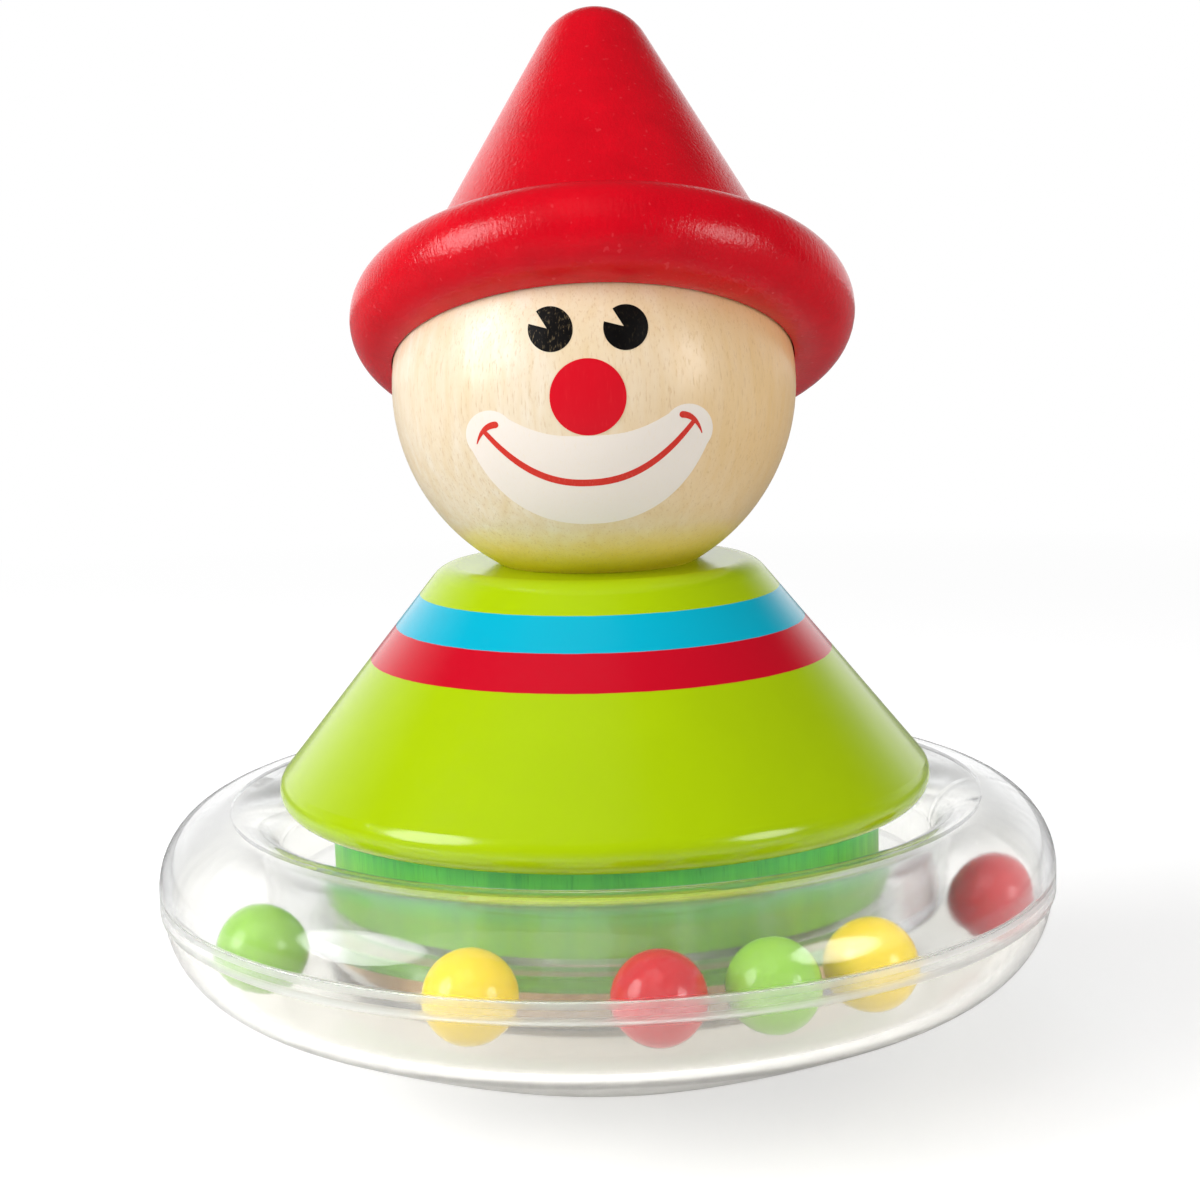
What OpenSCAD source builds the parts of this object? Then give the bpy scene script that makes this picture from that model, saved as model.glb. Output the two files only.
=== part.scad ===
// Roly poly clown: turned wooden figure on a clear rocking base with loose beads in a ring channel.
// Units are millimetres. +Z is up, the face looks along -Y, the origin is the middle of the resting flat.

/* [Base] */
// Outside diameter of the clear base
base_d = 80; // [76:0.5:92]
// Height of the widest part of the base above the seam
equator_rise = 1.66; // [1.6:0.02:2.4]
// Outer rounding of the ring, from its widest part to its crest
ring_round = 6.5; // [6:0.1:7.5]
// Wall thickness of both clear shells
shell_wall = 1.1; // [1:0.05:1.3]
// How far the lower shell is set in from the upper one at the seam
seam_step = 0.3; // [0.2:0.05:0.5]
// Height of the tongue that stands up inside the seam
tongue_height = 1.4; // [1:0.1:1.6]
// Radius where the rocking dome turns up into the side wall
shoulder_round = 7.4; // [7:0.1:8.2]
// Radius of the dome round its pole, on which the toy rocks
pole_round = 40; // [37:0.1:44]
// How far the pole's rounding runs up the dome, in degrees
pole_arc = 19; // [17:0.1:20]
// Radius of the dome's flank, between its pole and its shoulder
flank_round = 200; // [150:1:260]
// Radius of the small flat at the pole
foot_r = 5; // [4:0.25:6.5]

/* [Beads] */
// Diameter of a bead
bead_d = 7.4; // [6.8:0.1:7.6]
// Free space between a bead and each wall of its channel
bead_clear = 0.45; // [0.4:0.05:0.7]
// Turn of the first green bead round the base, in degrees
bead_turn_1 = -145; // [-160:1:-130]
// Turn of the first yellow bead, in degrees
bead_turn_2 = -108; // [-112:1:-104]
// Turn of the first red bead, in degrees
bead_turn_3 = -84; // [-86:1:-84]
// Turn of the second green bead, in degrees
bead_turn_4 = -69; // [-69:1:-68]
// Turn of the second yellow bead, in degrees
bead_turn_5 = -54; // [-54:1:-48]
// Turn of the second red bead, in degrees
bead_turn_6 = -18; // [-30:1:0]

/* [Well] */
// Width of the open trough between the spigot and its wall
trough_width = 4.7; // [4:0.1:5.2]
// Depth of the trough's floor below the ring's crest
trough_depth = 8; // [7:0.1:9]
// Depth of the spigot's pocket below the trough's floor
pocket_depth = 5.5; // [4.5:0.1:6]
// Space for glue between the spigot and its pocket
pocket_gap = 0.05; // [0.02:0.01:0.1]

/* [Body] */
// How far the body's underside is sunk below the ring's crest
body_sink = 0.4; // [0:0.1:0.6]
// How far the body's edge stays inside the trough's wall
edge_inset = 0.13; // [0.1:0.01:0.6]
// Height of the cone from its underside to its top
body_height = 21.1; // [19:0.1:22]
// Half angle of the cone, in degrees
body_angle = 39.2; // [38:0.1:40]
// Rounding of the cone's lower edge
edge_round = 1.9; // [1.5:0.1:2.4]
// Rounding of the cone's top edge
top_round = 2.6; // [2:0.1:3]
// Chamfer round the foot of the spigot
spigot_chamfer = 0.6; // [0.3:0.1:1]

/* [Weight] */
// Wood left round the recess for the steel weight
weight_wall = 6.42; // [5.4:0.02:9.4]
// Height of the steel weight
weight_height = 9.6; // [6:0.1:11]
// Chamfer on the weight's edges
weight_chamfer = 0.6; // [0.3:0.1:1]
// Space round the weight in its recess
weight_gap = 0.08; // [0.05:0.01:0.15]

/* [Screw] */
// Radius of the screw's shank
screw_r = 1.75; // [1.5:0.05:2]
// Length of the screw's shank
screw_length = 22; // [18:0.5:24]
// Radius of the screw's round head
screw_head_r = 3.6; // [3.2:0.1:4.5]
// Height of the screw's round head
screw_head_height = 2.2; // [1.8:0.1:2.6]
// Width of the cross recess in the screw's head
cross_width = 0.9; // [0.7:0.1:1.1]
// Depth of the cross recess
cross_depth = 1.1; // [0.8:0.1:1.3]
// Space round the shank where it passes through
screw_gap = 0.3; // [0.2:0.05:0.5]
// Space round the shank in the wood
thread_gap = 0.03; // [0.02:0.01:0.06]

/* [Head] */
// Radius of the ball head
head_r = 17.7; // [16.5:0.1:18.5]
// Radius of the flat on which the head stands
neck_r = 8.7; // [7.5:0.1:9.5]
// Radius of the dowel in the neck
neck_dowel_r = 3; // [2.5:0.1:4]
// Length of the dowel in the neck
neck_dowel_length = 19; // [14:0.5:22]
// Space round a dowel in its bore
dowel_gap = 0.05; // [0.02:0.01:0.1]
// Chamfer on the dowels' ends
dowel_chamfer = 0.5; // [0.3:0.1:0.8]
// Space past a dowel's end in its bore
bore_spare = 0.4; // [0.2:0.1:0.8]

/* [Hat] */
// Backward tilt of the hat, in degrees
hat_tilt = 25.3; // [15:0.1:32]
// Sideways shift of the hat on the head
hat_shift = 0.9; // [-1.5:0.1:1.5]
// Radius of the brim's ring beyond the head's radius
brim_out = 0.4; // [0.2:0.05:1]
// Radius of the brim's round section
brim_round = 4.2; // [3.6:0.1:4.6]
// Height of the brim above the middle of the head, along the hat
brim_rise = 5.9; // [5.4:0.1:6.6]
// Half angle of the crown, in degrees
crown_angle = 26.3; // [24:0.1:28]
// How far the crown's foot stands out past the head's radius
crown_out = 1.037; // [0.8:0.001:1.6]
// Rounding of the tip
tip_round = 5.5; // [4:0.1:6.5]
// Space for glue between the hat's seat and the head
seat_gap = 0.12; // [0.08:0.01:0.2]
// Radius of the dowel in the hat
hat_dowel_r = 2.5; // [2:0.1:3.5]
// Length of the dowel in the hat
hat_dowel_length = 15; // [10:0.5:18]

/* [Hidden] */
// Fineness of the round parts
$fn = 128;
// Half of the hat's dowel sits in the head
half_share = 0.5;
// How much of the drop to the channel's floor a bead takes
bead_drop_share = 0.9;
// Share of the wall that the seam's tongue takes
tongue_share = 0.5;
// Side gap of the tongue in its rebate
tongue_gap = 0.08;
// Run-out of a cut past the face it opens
cut_extra = 1;

// Base, worked out from the pole upwards
base_r = base_d / 2;
dome_r = base_r - seam_step;
pole_z = sqrt(pole_round * pole_round - foot_r * foot_r);
shoulder_r = dome_r - shoulder_round;
flank_r = -(flank_round - pole_round) * sin(pole_arc);
flank_z = pole_z + (flank_round - pole_round) * cos(pole_arc);
flank_arc = asin((shoulder_r - flank_r) / (flank_round - shoulder_round));
seam_z = flank_z - (flank_round - shoulder_round) * cos(flank_arc);
equator_z = seam_z + equator_rise;
crest_r = base_r - ring_round;
crest_z = equator_z + ring_round;

// Channel, trough and well, worked out from the side wall inwards
channel_out_r = dome_r - shell_wall;
channel_in_r = channel_out_r - bead_d - 2 * bead_clear;
trough_r = channel_in_r - shell_wall;
inner_round = crest_r - trough_r;
spigot_r = trough_r - trough_width;
pocket_r = spigot_r + pocket_gap;
trough_z = crest_z - trough_depth;
pocket_z = trough_z - pocket_depth;
bead_r = bead_d / 2;
bead_track_r = (channel_in_r + channel_out_r) / 2;
bead_reach = shoulder_round - shell_wall - bead_r - bead_clear;
bead_off = min(bead_track_r - shoulder_r, bead_reach);
bead_z = seam_z - sqrt(bead_reach * bead_reach - bead_off * bead_off) * bead_drop_share;

// Seam, a tongue on the lower shell in a rebate of the upper one
tongue_wall = shell_wall * tongue_share;
tongue_in_r = channel_out_r;
tongue_out_r = tongue_in_r + tongue_wall;

// Body, weight and head
weight_r = spigot_r - weight_wall - weight_gap;
body_z = crest_z - body_sink;
body_top_z = body_z + body_height;
edge_r = trough_r - edge_inset;
edge_mid_r = edge_r - edge_round;
edge_mid_z = body_z + edge_round;
cone_foot_r = edge_mid_r + edge_round * cos(body_angle);
cone_foot_z = edge_mid_z + edge_round * sin(body_angle);
top_mid_z = body_top_z - top_round;
top_rise = top_mid_z + top_round * sin(body_angle) - cone_foot_z;
cone_top_r = cone_foot_r - top_rise * tan(body_angle);
cone_top_z = cone_foot_z + top_rise;
top_mid_r = cone_top_r - top_round * cos(body_angle);
head_z = body_top_z + sqrt(head_r * head_r - neck_r * neck_r);
neck_dowel_z = body_top_z - neck_dowel_length * half_share;

// Hat, along its own tilted axis
brim_r = head_r + brim_out;
tip_edge_r = tip_round * cos(crown_angle);
crown_r = head_r + crown_out;
tip_edge_h = brim_rise + (crown_r - tip_edge_r) / tan(crown_angle);
crown_rise = tip_edge_h - tip_round * sin(crown_angle);
hat_dowel_h = head_r - hat_dowel_length * half_share;

// Colours
wood_colour = [0.93, 0.82, 0.63];
red_colour = [0.82, 0.05, 0.1];
green_colour = [0.6, 0.78, 0.05];
clear_colour = [0.85, 0.9, 0.92, 0.35];
steel_colour = [0.62, 0.63, 0.65];
bead_green = [0.45, 0.75, 0.3];
bead_yellow = [0.95, 0.8, 0.2];
bead_red = [0.85, 0.1, 0.12];

// Filled half section of the rocking dome, inset by a wall, up to a given height
module dome_fill(inset, top_z) {
  start_z = pole_z - (pole_round - inset) * cos(pole_arc);
  end_z = flank_z - (flank_round - inset) * cos(flank_arc);
  intersection() {
    translate([0, pole_z]) circle(r = pole_round - inset);
    square([pole_round, start_z]);
  }
  intersection() {
    translate([flank_r, flank_z]) circle(r = flank_round - inset);
    translate([0, start_z]) square([base_r, end_z - start_z]);
  }
  translate([0, end_z]) square([shoulder_r, top_z - end_z]);
  intersection() {
    translate([shoulder_r, seam_z]) circle(r = shoulder_round - inset);
    translate([shoulder_r, end_z]) square([shoulder_round + cut_extra, seam_z - end_z]);
  }
  if (top_z > seam_z)
    translate([shoulder_r, seam_z]) square([shoulder_round - inset, top_z - seam_z]);
}

// Filled half section of the ring over the bead channel, down to a given height
module ring_fill(inset, foot_z) {
  translate([trough_r + inset, foot_z])
    square([base_r - trough_r - 2 * inset, equator_z - foot_z]);
  intersection() {
    translate([crest_r, equator_z]) circle(r = ring_round - inset);
    translate([crest_r, equator_z]) square(ring_round + cut_extra);
  }
  intersection() {
    translate([crest_r, crest_z - inner_round]) circle(r = inner_round - inset);
    translate([trough_r - cut_extra, crest_z - inner_round])
      square([inner_round + cut_extra, inner_round + cut_extra]);
  }
  translate([trough_r + inset, equator_z])
    square([inner_round - inset, crest_z - inner_round - equator_z]);
}

// Straight dowel with chamfered ends, standing on zero
module dowel(radius, length) {
  rotate_extrude()
    polygon([
      [0, 0],
      [radius - dowel_chamfer, 0],
      [radius, dowel_chamfer],
      [radius, length - dowel_chamfer],
      [radius - dowel_chamfer, length],
      [0, length]
    ]);
}

// Moves its children to the hat's own axis
module on_hat() {
  translate([hat_shift, 0, head_z]) rotate([-hat_tilt, 0, 0]) children();
}

// Half section of the turned hat
module hat_section() {
  translate([brim_r, brim_rise]) circle(r = brim_round);
  polygon([[0, brim_rise], [crown_r, brim_rise], [tip_edge_r, tip_edge_h], [0, tip_edge_h]]);
  intersection() {
    translate([0, crown_rise]) circle(r = tip_round);
    translate([0, crown_rise]) square(tip_round + cut_extra);
  }
}

// Pointed hat with a ring brim, seated on the ball
module hat() {
  color(red_colour)
    difference() {
      on_hat() rotate_extrude() hat_section();
      translate([0, 0, head_z]) sphere(r = head_r + seat_gap);
      on_hat()
        translate([0, 0, hat_dowel_h])
          cylinder(r = hat_dowel_r + dowel_gap, h = hat_dowel_length + bore_spare);
    }
}

// Dowel between hat and head
module hat_dowel() {
  color(wood_colour) on_hat() translate([0, 0, hat_dowel_h]) dowel(hat_dowel_r, hat_dowel_length);
}

// Ball head with a flat to stand on
module head() {
  color(wood_colour)
    difference() {
      translate([0, 0, head_z]) sphere(r = head_r);
      translate([0, 0, body_top_z - head_r])
        cylinder(r = head_r, h = head_r);
      translate([0, 0, neck_dowel_z])
        cylinder(r = neck_dowel_r + dowel_gap, h = neck_dowel_length + bore_spare);
      on_hat()
        translate([0, 0, hat_dowel_h - bore_spare])
          cylinder(r = hat_dowel_r + dowel_gap, h = hat_dowel_length);
    }
}

// Dowel between head and body
module neck_dowel() {
  color(wood_colour) translate([0, 0, neck_dowel_z]) dowel(neck_dowel_r, neck_dowel_length);
}

// Half section of the turned body with its spigot
module body_section() {
  polygon([
    [0, pocket_z],
    [spigot_r - spigot_chamfer, pocket_z],
    [spigot_r, pocket_z + spigot_chamfer],
    [spigot_r, body_z],
    [edge_mid_r, body_z],
    [edge_mid_r, edge_mid_z],
    [cone_foot_r, cone_foot_z],
    [cone_top_r, cone_top_z],
    [top_mid_r, top_mid_z],
    [top_mid_r, body_top_z],
    [0, body_top_z]
  ]);
  translate([edge_mid_r, edge_mid_z]) circle(r = edge_round);
  translate([top_mid_r, top_mid_z]) circle(r = top_round);
}

// Cone body; its spigot is recessed from below for the weight
module body() {
  color(green_colour)
    difference() {
      rotate_extrude() body_section();
      translate([0, 0, pocket_z - cut_extra])
        cylinder(r = weight_r + weight_gap, h = weight_height + cut_extra);
      translate([0, 0, pocket_z])
        cylinder(r = screw_r + thread_gap, h = screw_length - shell_wall + bore_spare);
      translate([0, 0, neck_dowel_z - bore_spare])
        cylinder(r = neck_dowel_r + dowel_gap, h = neck_dowel_length);
    }
}

// Steel weight with a hole for the screw
module weight() {
  hole_r = screw_r + screw_gap;
  color(steel_colour)
    translate([0, 0, pocket_z])
      rotate_extrude()
        polygon([
          [hole_r, 0],
          [weight_r - weight_chamfer, 0],
          [weight_r, weight_chamfer],
          [weight_r, weight_height - weight_chamfer],
          [weight_r - weight_chamfer, weight_height],
          [hole_r, weight_height]
        ]);
}

// Screw from under the well's floor into the body
module base_screw() {
  floor_z = pocket_z - shell_wall;
  color(steel_colour)
    difference() {
      union() {
        translate([0, 0, floor_z]) cylinder(r = screw_r, h = screw_length - screw_r);
        translate([0, 0, floor_z + screw_length - screw_r]) cylinder(r1 = screw_r, r2 = 0, h = screw_r);
        translate([0, 0, floor_z - screw_head_height])
          cylinder(r1 = screw_head_r - cross_width, r2 = screw_head_r, h = screw_head_height);
      }
      for (turn = [0, 90])
        rotate([0, 0, turn])
          translate([-screw_head_r / 2, -cross_width / 2, floor_z - screw_head_height - cut_extra])
            cube([screw_head_r, cross_width, cross_depth + cut_extra]);
    }
}

// Upper clear shell: ring over the channel, trough and stepped well
module upper_shell() {
  well_floor_z = pocket_z - shell_wall;
  color(clear_colour)
    rotate_extrude()
      union() {
        difference() {
          union() {
            difference() {
              ring_fill(0, equator_z - shell_wall * half_share);
              ring_fill(shell_wall, equator_z - shell_wall);
            }
            translate([base_r - shell_wall, seam_z]) square([shell_wall, equator_z - seam_z]);
          }
          translate([tongue_in_r, seam_z - cut_extra])
            square([tongue_wall + tongue_gap, tongue_height + tongue_gap + cut_extra]);
        }
        translate([trough_r, trough_z - shell_wall])
          square([shell_wall, equator_z - trough_z + shell_wall]);
        translate([pocket_r, trough_z - shell_wall])
          square([trough_r + shell_wall - pocket_r, shell_wall]);
        translate([pocket_r, well_floor_z]) square([shell_wall, trough_z - well_floor_z]);
        translate([screw_r + screw_gap, well_floor_z])
          square([pocket_r + shell_wall - screw_r - screw_gap, shell_wall]);
      }
}

// Lower clear shell: rocking dome with a small flat and the seam's tongue
module lower_shell() {
  color(clear_colour)
    rotate_extrude()
      union() {
        difference() {
          dome_fill(0, seam_z);
          dome_fill(shell_wall, seam_z + cut_extra);
        }
        translate([tongue_in_r, seam_z - tongue_wall])
          square([tongue_wall, tongue_height + tongue_wall]);
      }
}

// One bead in its channel
module bead(turn, colour) {
  color(colour) rotate([0, 0, turn]) translate([bead_track_r, 0, bead_z]) sphere(r = bead_r);
}

// First green bead
module bead_1() {
  bead(bead_turn_1, bead_green);
}

// First yellow bead
module bead_2() {
  bead(bead_turn_2, bead_yellow);
}

// First red bead
module bead_3() {
  bead(bead_turn_3, bead_red);
}

// Second green bead
module bead_4() {
  bead(bead_turn_4, bead_green);
}

// Second yellow bead
module bead_5() {
  bead(bead_turn_5, bead_yellow);
}

// Second red bead
module bead_6() {
  bead(bead_turn_6, bead_red);
}

hat();
hat_dowel();
head();
neck_dowel();
body();
weight();
base_screw();
upper_shell();
lower_shell();
bead_1();
bead_2();
bead_3();
bead_4();
bead_5();
bead_6();
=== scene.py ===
"""Looks of a roly poly clown: turned painted wood on a clear rocking base with loose beads."""

import math

import bmesh
import bpy
from bpy.props import FloatProperty, FloatVectorProperty, IntProperty, PointerProperty
from mathutils import Matrix, Vector


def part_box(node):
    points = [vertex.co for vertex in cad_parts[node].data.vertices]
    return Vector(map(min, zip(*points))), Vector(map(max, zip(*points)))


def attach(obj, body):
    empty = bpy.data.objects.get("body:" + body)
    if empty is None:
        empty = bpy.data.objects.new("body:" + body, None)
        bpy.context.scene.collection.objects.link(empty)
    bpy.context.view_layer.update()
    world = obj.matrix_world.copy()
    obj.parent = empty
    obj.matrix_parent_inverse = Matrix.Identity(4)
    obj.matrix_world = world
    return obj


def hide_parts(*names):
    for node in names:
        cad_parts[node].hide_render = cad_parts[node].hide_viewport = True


bl_info = {
    "name": "Roly poly clown",
    "version": (1, 0, 0),
    "blender": (4, 5, 0),
    "location": "3D View > Sidebar > Toy",
    "description": "Dresses the wooden clown and its clear bead base",
    "category": "Object",
}

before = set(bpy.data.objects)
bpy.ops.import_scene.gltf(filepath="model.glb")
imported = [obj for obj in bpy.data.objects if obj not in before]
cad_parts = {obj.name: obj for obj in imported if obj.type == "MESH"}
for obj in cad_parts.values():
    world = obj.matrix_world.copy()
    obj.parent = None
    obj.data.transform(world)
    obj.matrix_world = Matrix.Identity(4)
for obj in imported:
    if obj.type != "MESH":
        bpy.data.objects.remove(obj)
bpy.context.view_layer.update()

MM = 0.001
FIGURE = "figure"
HEAD_LOW, HEAD_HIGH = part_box("head")
HEAD_RADIUS = (HEAD_HIGH.x - HEAD_LOW.x) / 2
BEAD_LOW, BEAD_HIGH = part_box("bead_1")
BEAD_MIDDLE = (BEAD_LOW + BEAD_HIGH) / 2
DOME_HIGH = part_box("lower_shell")[1]
BEADS = (
    ("bead_1", "green"),
    ("bead_2", "yellow"),
    ("bead_3", "red"),
    ("bead_4", "green"),
    ("bead_5", "yellow"),
    ("bead_6", "red"),
)

# The printed face: side of each eye and where its cut-out meets, from the eye's middle in millimetres
EYES = (("eye_left", -1, (-0.27, 0.06)), ("eye_right", 1, (-0.15, 0.08)))
# Hooks at the smile's ends: plain, straight and bent terms of their curve in millimetres
HOOKS = (("dimple_left", -1), ("dimple_right", 1))
HOOK_OUT_TERMS = (0.05, 0.78, -0.16)
HOOK_UP_TERMS = (0.14, -0.8, -0.34)
# Layers of ink, counted from the wood
UNDER_LAYER = 1
OVER_LAYER = 2
HOOK_LAYER = 2.2
FILM_MERGE = 0.002 * MM
FILM_SLIVER = 0.001 * MM
FILM_EDGE = math.radians(40)

# Where most values of a noise lie, its middle, and the ray depth that tells one bounce from none
NOISE_LOW, NOISE_HIGH = 0.3, 0.7
NOISE_MIDDLE = 0.5
ONE_BOUNCE = 0.5

# Lamps: degrees to the right and up, distance, width and height, level, and whether gloss shows them
LAMP_AIM = Vector((0, 0, 0.05))
LAMPS = (
    ("key_left", -66, 24, 0.7, (0.4, 0.5), 0.85, True),
    ("fill_right", 55, 13, 0.75, (0.3, 0.36), 0.36, True),
    ("overhead", -28, 58, 0.8, (0.7, 0.7), 0.26, False),
)

# Floor: its size, the radii between which it turns into a white sweep, and its levels
FLOOR_HALF = 3.0
FLOOR_DROP = 0.05 * MM
SWEEP_START, SWEEP_END = 0.14, 0.4
GLOW_STRAIGHT, GLOW_THROUGH = 0.42, 0.65
SWEEP_MIRRORED, SWEEP_INSIDE = 0.4, 0.85
DIM_LEVEL = 0.12
DIM_NEAR_SHARE, DIM_FAR_SHARE = 0.85, 0.2
DIM_START, DIM_END = 0.07, 0.1

# World: level for light, and for what gloss shows in front and low behind
SKY_PLAIN = 0.3
SKY_FRONT, SKY_BEHIND = 0.06, 1.2
SKY_INSIDE = 0.85
BEHIND_START, BEHIND_END = 0.2, 0.75
LOW_FULL, LOW_GONE = 0.2, 0.5
LEFT_RISE_SHARE = 0.55

# Camera at the photograph's view
CAMERA_PLACE = Vector((0, -0.19274, 0.072968))
CAMERA_AIM = Vector((0, 0, 0.043042))
CAMERA_ROLL = math.radians(-1.617)
CAMERA_LENS, CAMERA_SENSOR = 65.54, 36
CAMERA_NEAR, CAMERA_FAR = 0.01, 20


def srgb(red, green, blue):
    """A colour as a screen writes it, in the linear values that shaders read."""
    shares = [value / 255 for value in (red, green, blue)]
    return [s / 12.92 if s <= 0.04045 else ((s + 0.055) / 1.055) ** 2.4 for s in shares]


def darker(tint, share):
    """A colour brought down to a share of its light."""
    return [value * share for value in tint]


def length(name, description, metres):
    """A length property."""
    return FloatProperty(
        name=name, description=description, default=metres, unit="LENGTH", precision=5
    )


def slant(name, description, degrees):
    """An angle property, given in degrees."""
    return FloatProperty(
        name=name, description=description, default=math.radians(degrees), subtype="ANGLE"
    )


def power(name, description, default):
    """A plain number that bends a curve."""
    return FloatProperty(name=name, description=description, default=default)


def colour(name, description, default):
    """A colour property."""
    return FloatVectorProperty(
        name=name, description=description, default=default, subtype="COLOR", min=0, max=1
    )


# Sizes and colours that a user would change


class ToySizes(bpy.types.PropertyGroup):
    """Sizes of what is painted, printed or laid on the solid pieces"""

    head_radius: length("Head radius", "Radius of the ball head", HEAD_RADIUS)
    head_height: length("Head height", "Height of the middle of the head", HEAD_HIGH.z - HEAD_RADIUS)
    hat_tilt: slant("Hat tilt", "Backward tilt of the hat, which its grain follows", 25.3)
    blue_top: length("Blue stripe top", "Height of the blue stripe's upper edge", 44.22 * MM)
    blue_foot: length("Blue stripe foot", "Height where the blue stripe meets the red one", 41.49 * MM)
    red_foot: length("Red stripe foot", "Height of the red stripe's lower edge", 38.62 * MM)
    cone_foot: length("Cone underside", "Height of the cone's underside", 25.6 * MM)
    # The spigot's upper tone is painted shade under the cone's overhang
    spigot_top: length("Spigot upper tone", "Height where the spigot has its upper tone", 24 * MM)
    spigot_turn: length("Spigot lower tone", "Height where the spigot has its lower tone", 20.5 * MM)
    paint_foot: length("Paint foot", "Height on the spigot where the paint ends", 16.2 * MM)
    edge_soft: length("Edge softness", "Half width of a paint edge", 0.03 * MM)
    edge_ragged: length("Edge raggedness", "How far a paint edge wanders", 0.05 * MM)
    edge_lap: length("Edge lap", "How far the thin paint laps over the cone's underside", 0.05 * MM)
    bead_radius: length("Bead radius", "Radius of a bead", (BEAD_HIGH.z - BEAD_LOW.z) / 2)
    bead_track: length(
        "Bead track", "Radius of the circle that the beads run on", math.hypot(*BEAD_MIDDLE.xy)
    )
    base_radius: length("Base radius", "Radius of the clear base at its widest", DOME_HIGH.x)
    tongue_top: length("Tongue top", "Height of the top of the seam's tongue", DOME_HIGH.z)
    tongue_height: length("Tongue height", "Height of the tongue over the seam", 1.4 * MM)
    weld_half: length("Weld half width", "Half width of a frosted line of the welded seam", 0.32 * MM)
    weld_depth: length("Weld depth", "How far the frosted lines reach in", 1.3 * MM)
    bead_facets: IntProperty(
        name="Bead fineness", description="Subdivisions of a bead", default=5, min=2, max=6
    )


class FaceSizes(bpy.types.PropertyGroup):
    """Sizes of the printed face, measured on the ball as seen from the front"""

    eye_radius: length("Eye radius", "Radius of an eye", 1.81 * MM)
    eye_spread: length("Eye spread", "Half of the distance between the eyes", 3.03 * MM)
    eye_rise: length("Eye rise", "Height of the eyes over the middle of the head", 5.54 * MM)
    eye_shift: length("Eye shift", "How far the eyes are turned to one side", -0.35 * MM)
    eye_cut_start: slant("Eye cut start", "Lower side of the eyes' cut-outs", 165)
    eye_cut_end: slant("Eye cut end", "Upper side of the eyes' cut-outs", 121.7)
    face_shift: length("Face shift", "How far nose and mouth are turned to one side", -0.5 * MM)
    nose_radius: length("Nose radius", "Radius of the round nose", 3.09 * MM)
    nose_rise: length("Nose rise", "Height of the nose over the middle of the head", 0.1 * MM)
    mouth_half: length("Mouth half width", "Half width of the white mouth's middle line", 8.03 * MM)
    mouth_drop: length("Mouth drop", "Depth of the mouth's lowest point", 6.77 * MM)
    mouth_rise: length("Mouth rise", "Rise of the mouth towards its corners", 3.89 * MM)
    mouth_lean: length("Mouth lean", "How much higher one corner of the mouth sits", 0.07 * MM)
    mouth_bend: power("Mouth bend", "Power by which the mouth turns up", 2.39)
    mouth_thick: length("Mouth thickness", "Half thickness of the mouth at its middle", 3.74 * MM)
    mouth_end: length("Mouth end", "Radius of the white mouth's rounded ends", 2.06 * MM)
    mouth_taper: power("Mouth taper", "Power by which the mouth narrows", 2.35)
    smile_half: length("Smile half width", "Half width of the smile's line", 8.51 * MM)
    smile_drop: length("Smile drop", "Depth of the smile's lowest point", 6.92 * MM)
    smile_rise: length("Smile rise", "Rise of the smile towards its corners", 4.49 * MM)
    smile_lean: length("Smile lean", "How much higher one corner of the smile sits", 0.23 * MM)
    smile_bend: power("Smile bend", "Power by which the smile turns up", 2.26)
    smile_thick: length("Smile thickness", "Half thickness of the smile's line", 0.28 * MM)
    smile_loss: power("Smile loss", "Share of its thickness that the smile loses at its ends", 0.35)
    smile_taper: power("Smile taper", "Power by which the smile's line narrows", 3)
    hook_start: power("Hook start", "Thickness of a hook's start as a share of the smile's", 0.98)
    hook_loss: power("Hook loss", "Share that a hook loses by its tip", 0.86)
    hook_taper: power("Hook taper", "Power by which a hook narrows", 1.6)
    lift: length("Ink lift", "Thickness of one printed layer", 0.02 * MM)


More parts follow.
